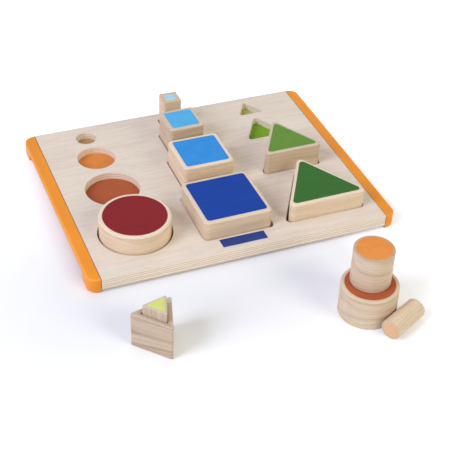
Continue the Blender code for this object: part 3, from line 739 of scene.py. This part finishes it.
def dress(piece, finish, node, body):
    """Shade a finished piece, give it its finish and let it stand for its CAD node."""
    hold(piece)
    bpy.ops.object.shade_smooth_by_angle(angle=SMOOTH_ANGLE)
    weighted = piece.modifiers.new("weighted", "WEIGHTED_NORMAL")
    weighted.keep_sharp = True
    bpy.ops.object.modifier_apply(modifier="weighted")
    if not piece.data.materials:
        piece.data.materials.append(finish)
    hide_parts(node)
    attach(piece, body)


def refinish(node, finish):
    """Give a CAD node that stays as it is a finish."""
    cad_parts[node].material_slots[0].material = finish


def well_size(shape, size):
    """A well's middle from front to back, and half its width."""
    if shape == "triangle":
        return TRIANGLE_ROW_Y[size], TRIANGLE_WELL_HALF[size]
    return ROW_Y[size], WELL_HALF[size]


def make_board(finish):
    """The plywood board with its twelve wells and the shallow bed for the plate."""
    board = slab_blank(
        "plywood_board", BOARD_WIDTH, BOARD_DEPTH, BOARD_UNDERSIDE, BOARD_TOP, 0.0, BOARD_MIDDLE
    )
    is_on_top = lies_at(BOARD_TOP)
    for ease, axis in ((BOARD_EDGE_EASE, 1), (BOARD_SEAM_EASE, 0)):
        pick(board, "EDGE", lambda edge: is_on_top(edge) and is_square_to(edge, axis))
        round_picked_edges(board, ease, EDGE_STEPS)
    depth = BOARD_TOP - WELL_EDGE_EASE - BOARD_UNDERSIDE + OVERRUN
    for shape, size in WELLS:
        row_y, half = well_size(shape, size)
        tool = upright_blank("well_tool", shape, half, WELL_CORNER[size], depth)
        flare_end(tool, depth, half, WELL_EDGE_EASE, 1)
        move_to(tool, (COLUMN_X[shape], row_y, BOARD_UNDERSIDE - OVERRUN))
        carve(board, tool)
    low = BOARD_TOP - PLATE_THICKNESS
    carve(board, plate_blank("plate_tool", THIN_GAP, low, BOARD_TOP + OVERRUN))
    dress(board, finish, "sorting_board", "board")


def make_plate(blue, white):
    """The blue plate with its thin pale border."""
    plate = plate_blank("blue_plate", 0.0, PLATE_TOP - PLATE_THICKNESS, PLATE_TOP)
    plate.data.materials.append(white)
    plate.data.materials.append(blue)
    pick(plate, "EDGE", lies_at(PLATE_TOP))
    round_picked_edges(plate, PAINT_EDGE, PAINT_EDGE_STEPS)
    pick(plate, "FACE", lies_at(PLATE_TOP))
    bpy.ops.mesh.inset(thickness=PLATE_BORDER)
    plate.active_material_index = 1
    bpy.ops.object.material_slot_assign()
    let_go()
    dress(plate, blue, "label_plate", "board")


def rub_rim(coat, height):
    """Ease a coat of paint along its edge and mark only a narrow rim there as worn."""
    pick(coat, "EDGE", lies_at(height))
    round_picked_edges(coat, PAINT_EDGE, PAINT_EDGE_STEPS)
    pick(coat, "FACE", lies_at(height))
    bpy.ops.mesh.inset(thickness=PAINT_RIM)
    mark_worn(coat, lambda vert: not any(face.select for face in vert.link_faces), afresh=True)


def make_well_floor(shape, size, finish):
    """The painted floor of a well."""
    row_y, half = well_size(shape, size)
    name = f"{shape}_{size}"
    floor = upright_blank(
        f"shaded_well_paint_{name}", shape, half - THIN_GAP, WELL_CORNER[size] - THIN_GAP, PAINT_THICKNESS
    )
    rub_rim(floor, PAINT_THICKNESS)
    move_to(floor, (COLUMN_X[shape], row_y, BACKING_TOP + GAP))
    dress(floor, finish, f"well_floor_{name}", "board")


def block_half(shape, size):
    """Half a block's width across the flats."""
    return TRIANGLE_HALF[size] if shape == "triangle" else BLOCK_HALF[size]


def block_corner(shape, size):
    """The radius of a block's upright corners."""
    return TRIANGLE_CORNER[size] if shape == "triangle" else SQUARE_CORNER[size]


def paint_blank(name, shape, size, grow, height):
    """The outline of a top's coat of paint, grown by a little."""
    half = block_half(shape, size) - PAINT_MARGIN[shape][size] + grow
    corner = block_corner(shape, size) * PAINT_CORNER_SHARE[size] + grow
    return upright_blank(name, shape, half, corner, height)


def make_block(shape, size, wood, paint):
    """A block with its pocket and its painted top."""
    name = f"{shape}_{size}"
    half = block_half(shape, size)
    height = BLOCK_HEIGHT[size]
    block = upright_blank(f"wood_{name}", shape, half, block_corner(shape, size), height)
    for level, width in ((height, TOP_ROUND_OVER[size]), (0.0, RIM_ROUND_OVER)):
        pick(block, "EDGE", lies_at(level))
        round_picked_edges(block, width, EDGE_STEPS + 1)
    if size > 1:
        pocket_half = block_half(shape, size - 1) + NEST_CLEARANCE
        pocket_corner = block_corner(shape, size - 1)
        depth = height - TOP_PLATE - POCKET_MOUTH_EASE
        tool = upright_blank("pocket_tool", shape, pocket_half, pocket_corner, depth)
        move_to(tool, (0.0, 0.0, POCKET_MOUTH_EASE))
        flare_end(tool, POCKET_MOUTH_EASE, pocket_half, POCKET_MOUTH_EASE, -1)
        carve(block, tool)
    recess = PAINT_THICKNESS + THIN_GAP
    tool = paint_blank("recess_tool", shape, size, THIN_GAP, recess + OVERRUN)
    move_to(tool, (0.0, 0.0, height - recess))
    carve(block, tool)
    rubbed_from = height - TOP_ROUND_OVER[size] * RUBBED_SHARE
    open_up(block, "VERT")
    mark_worn(block, lambda vert: vert.co.z > rubbed_from)
    coat = paint_blank(f"paint_{name}", shape, size, 0.0, PAINT_THICKNESS)
    rub_rim(coat, PAINT_THICKNESS)
    move_to(coat, (0.0, 0.0, height - PAINT_THICKNESS))
    place, tip, turn = PLACES[name]
    move_to(block, place, tip, turn)
    move_to(coat, place, tip, turn)
    dress(block, wood, f"{shape}_block_{size}", name)
    dress(coat, paint, f"{shape}_face_{size}", name)


def make_blocks(coats):
    """All twelve blocks, each cut from its own stretch of the timber."""
    for index, (key, wood) in enumerate(BLOCK_WOOD.items()):
        shape, size = key.split("_")
        along = BLOCK_ALONG_STEP * index
        beside = BLOCK_BESIDE + BESIDE_STEP * (index % BESIDE_STEPS)
        above = BLOCK_ABOVE + ABOVE_STEP * (index % ABOVE_STEPS)
        finish = solid_wood_finish(f"pale_wood_{key}", (along, beside, above), wood)
        make_block(shape, int(size), finish, coats[key])


def is_foot_end(edge):
    """Across a rail, where a foot ends and the arch begins."""
    reach = edge.verts[0].co.y - BOARD_FRONT
    at_arch = min(abs(reach - FOOT_LENGTH), abs(reach - BOARD_DEPTH + FOOT_LENGTH)) < THIN_GAP
    return at_arch and is_square_to(edge, 1)


def is_outer_end(edge, outer):
    """On the outer side of a rail and at its front or back end."""
    x, y, _ = edge.verts[0].co
    at_end = min(abs(y - BOARD_FRONT), abs(y - BOARD_FRONT - BOARD_DEPTH)) < THIN_GAP
    return at_end and abs(abs(x) - outer) < THIN_GAP


def is_at_seam(edge, inner):
    """On the side of a rail that the board meets."""
    return all(abs(abs(vert.co.x) - inner) < THIN_GAP for vert in edge.verts)


def make_rail(name, side, finish):
    """A side rail that stands on a foot at each end."""
    inner = BOARD_WIDTH / 2 + GAP
    outer = BOARD_WIDTH / 2 + RAIL_WIDTH
    middle_x = side * (inner + outer) / 2
    rail = slab_blank(
        f"painted_{name}", outer - inner, BOARD_DEPTH, 0.0, BOARD_TOP, middle_x, BOARD_MIDDLE
    )
    length = BOARD_DEPTH - 2 * FOOT_LENGTH
    arch = slab_blank(
        "arch_tool", 4 * RAIL_WIDTH, length, -OVERRUN, ARCH_HEIGHT, side * outer, BOARD_MIDDLE
    )
    is_on_roof = lies_at(ARCH_HEIGHT)
    pick(arch, "EDGE", lambda edge: is_on_roof(edge) and is_square_to(edge, 1))
    bpy.ops.mesh.bevel(offset=ARCH_CORNER, segments=CORNER_STEPS)
    carve(rail, arch)
    is_on_sole = lies_at(0.0)
    pick(rail, "EDGE", lambda edge: is_on_sole(edge) and is_foot_end(edge))
    bpy.ops.mesh.bevel(offset=FOOT_CORNER, segments=CORNER_STEPS)
    pick(rail, "EDGE", lambda edge: is_upright(edge) and is_outer_end(edge, outer))
    bpy.ops.mesh.bevel(offset=RAIL_OUTER_CORNER, segments=2 * CORNER_STEPS)
    pick(rail, "EDGE", lambda edge: edge.calc_face_angle(0.0) > SMOOTH_ANGLE)
    bpy.ops.transform.edge_bevelweight(value=1.0)
    pick(rail, "EDGE", lambda edge: is_at_seam(edge, inner))
    bpy.ops.transform.edge_bevelweight(value=RAIL_SEAM_SHARE - 1.0)
    let_go()
    eased = rail.modifiers.new("eased", "BEVEL")
    eased.limit_method = "WEIGHT"
    eased.width = RAIL_ROUND_OVER
    eased.segments = EDGE_STEPS
    eased.use_clamp_overlap = False
    hold(rail)
    bpy.ops.object.modifier_apply(modifier="eased")
    open_up(rail, "FACE")
    mark_worn(rail, lambda vert: all(STEEP < face.normal.z < LEVEL for face in vert.link_faces))
    dress(rail, finish, name, "board")


def seen_share(tree):
    """1 where a surface or the background is seen, straight, mirrored or through glass, else 0."""
    path = tree.nodes.new("ShaderNodeLightPath").outputs
    share = path["Is Camera Ray"]
    for kind in ("Is Glossy Ray", "Is Transmission Ray"):
        larger = tree.nodes.new("ShaderNodeMath")
        larger.operation = "MAXIMUM"
        tree.links.new(share, larger.inputs[0])
        tree.links.new(path[kind], larger.inputs[1])
        share = larger.outputs[0]
    return share


def make_stage():
    """A plain pale floor that runs out to the background."""
    let_go()
    bpy.ops.mesh.primitive_plane_add(size=FLOOR_SIDE, location=ORIGIN)
    floor = bpy.context.object
    floor.name = "studio_floor"
    finish = Finish("pale_floor")
    place = finish.place()
    clouds = finish.shown(finish.noise(place, FLOOR_CLOUDS), FLOOR_CLOUDS)
    colour = finish.mixed(clouds, screen_colour(FLOOR_DARK), screen_colour(FLOOR_LIGHT))
    finish.surface(colour, FLOOR_ROUGHNESS, FLOOR_SHINE)
    from_front = finish.stretched(place, GLOW_SCALE, GLOW_SHIFT)
    away = finish.node("VectorMath", {0: from_front}, operation="LENGTH").outputs["Value"]
    rising = finish.summed(
        finish.between(away, *NEAR_GLOW),
        finish.between(away, *FAR_GLOW),
        finish.between(finish.axes(place)["X"], *RIGHT_GLOW),
    )
    glow = finish.maths("MULTIPLY", seen_share(finish.tree), rising)
    finish.feed(finish.shader.inputs["Emission Color"], WHITE)
    finish.feed(finish.shader.inputs["Emission Strength"], glow)
    floor.data.materials.append(finish.material)


def light_surroundings():
    """A background that is white to look at and lights the set more gently."""
    world = bpy.data.worlds.new("soft_studio")
    bpy.context.scene.world = world
    world.use_nodes = True
    nodes = world.node_tree.nodes
    links = world.node_tree.links
    around = nodes["Background"]
    around.inputs["Color"].default_value = SURROUND
    around.inputs["Strength"].default_value = SURROUND_STRENGTH
    backdrop = nodes.new("ShaderNodeBackground")
    backdrop.inputs["Color"].default_value = WHITE
    backdrop.inputs["Strength"].default_value = 1.0
    choose = nodes.new("ShaderNodeMixShader")
    links.new(seen_share(world.node_tree), choose.inputs[0])
    links.new(around.outputs[0], choose.inputs[1])
    links.new(backdrop.outputs[0], choose.inputs[2])
    links.new(choose.outputs[0], nodes["World Output"].inputs["Surface"])


def make_lamp(name, place, aim, side, power, colour):
    """A square lamp that faces what it is aimed at."""
    data = bpy.data.lights.new(name, "AREA")
    data.shape = "SQUARE"
    data.size = side
    data.energy = power
    data.color = colour
    lamp = bpy.data.objects.new(name, data)
    bpy.context.scene.collection.objects.link(lamp)
    lamp.location = place
    direction = Vector(aim) - lamp.location
    lamp.rotation_euler = direction.to_track_quat("-Z", "Y").to_euler()


def make_camera():
    """The camera that sees the set as the photograph shows it."""
    data = bpy.data.cameras.new("photo_camera")
    data.sensor_width = SENSOR_WIDTH
    data.lens = LENS
    data.clip_end = CLIP_END
    camera = bpy.data.objects.new("photo_camera", data)
    bpy.context.scene.collection.objects.link(camera)
    camera.matrix_world = CAMERA_PLACE
    bpy.context.scene.camera = camera
    bpy.context.scene.view_settings.view_transform = "Standard"


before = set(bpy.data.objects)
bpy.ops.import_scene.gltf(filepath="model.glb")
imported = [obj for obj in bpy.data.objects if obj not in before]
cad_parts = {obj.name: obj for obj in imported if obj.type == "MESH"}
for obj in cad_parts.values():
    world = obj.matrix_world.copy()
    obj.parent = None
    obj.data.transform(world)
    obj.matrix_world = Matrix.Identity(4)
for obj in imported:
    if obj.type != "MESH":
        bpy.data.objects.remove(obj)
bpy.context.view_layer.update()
coats = {key: block_paint_finish(f"matt_paint_{key}", rgb) for key, rgb in BLOCK_PAINT.items()}
# The paint in each well is darkened beside its block's paint: painted shade from the well's walls
shaded_well_coats = {}
for key, rgb in BLOCK_PAINT.items():
    shade = WELL_PAINTED_SHADE[int(key[-1])]
    shaded_well_coats[key] = block_paint_finish(f"shaded_well_paint_{key}", darkened(rgb, shade))
plain_wood = solid_wood_finish("pale_wood_dowels", DOWEL_STRETCH, DOWEL_WOOD)
make_board(plywood_finish("birch_plywood", VENEER_LIGHT, VENEER_DARK, BOARD_UNDERSIDE))
backing = plywood_finish("backing_plywood", PLY_LONG, VENEER_DARK, BACKING_UNDERSIDE)
refinish("backing_panel", backing)
for side_name, side in (("left", -1), ("right", 1)):
    make_rail(f"{side_name}_rail", side, rail_paint_finish(f"orange_paint_{side_name}"))
    for end in ("front", "middle", "back"):
        refinish(f"{side_name}_dowel_{end}", plain_wood)
plate_blue = plate_finish("plate_blue", PLATE_BLUE, PLATE_ROUGHNESS)
make_plate(plate_blue, plate_finish("plate_border", PLATE_WHITE, BORDER_ROUGHNESS))
for shape, size in WELLS:
    make_well_floor(shape, size, shaded_well_coats[f"{shape}_{size}"])
make_blocks(coats)
make_stage()
light_surroundings()
for name, settings in LAMPS.items():
    make_lamp(name, *settings)
make_camera()
let_go()
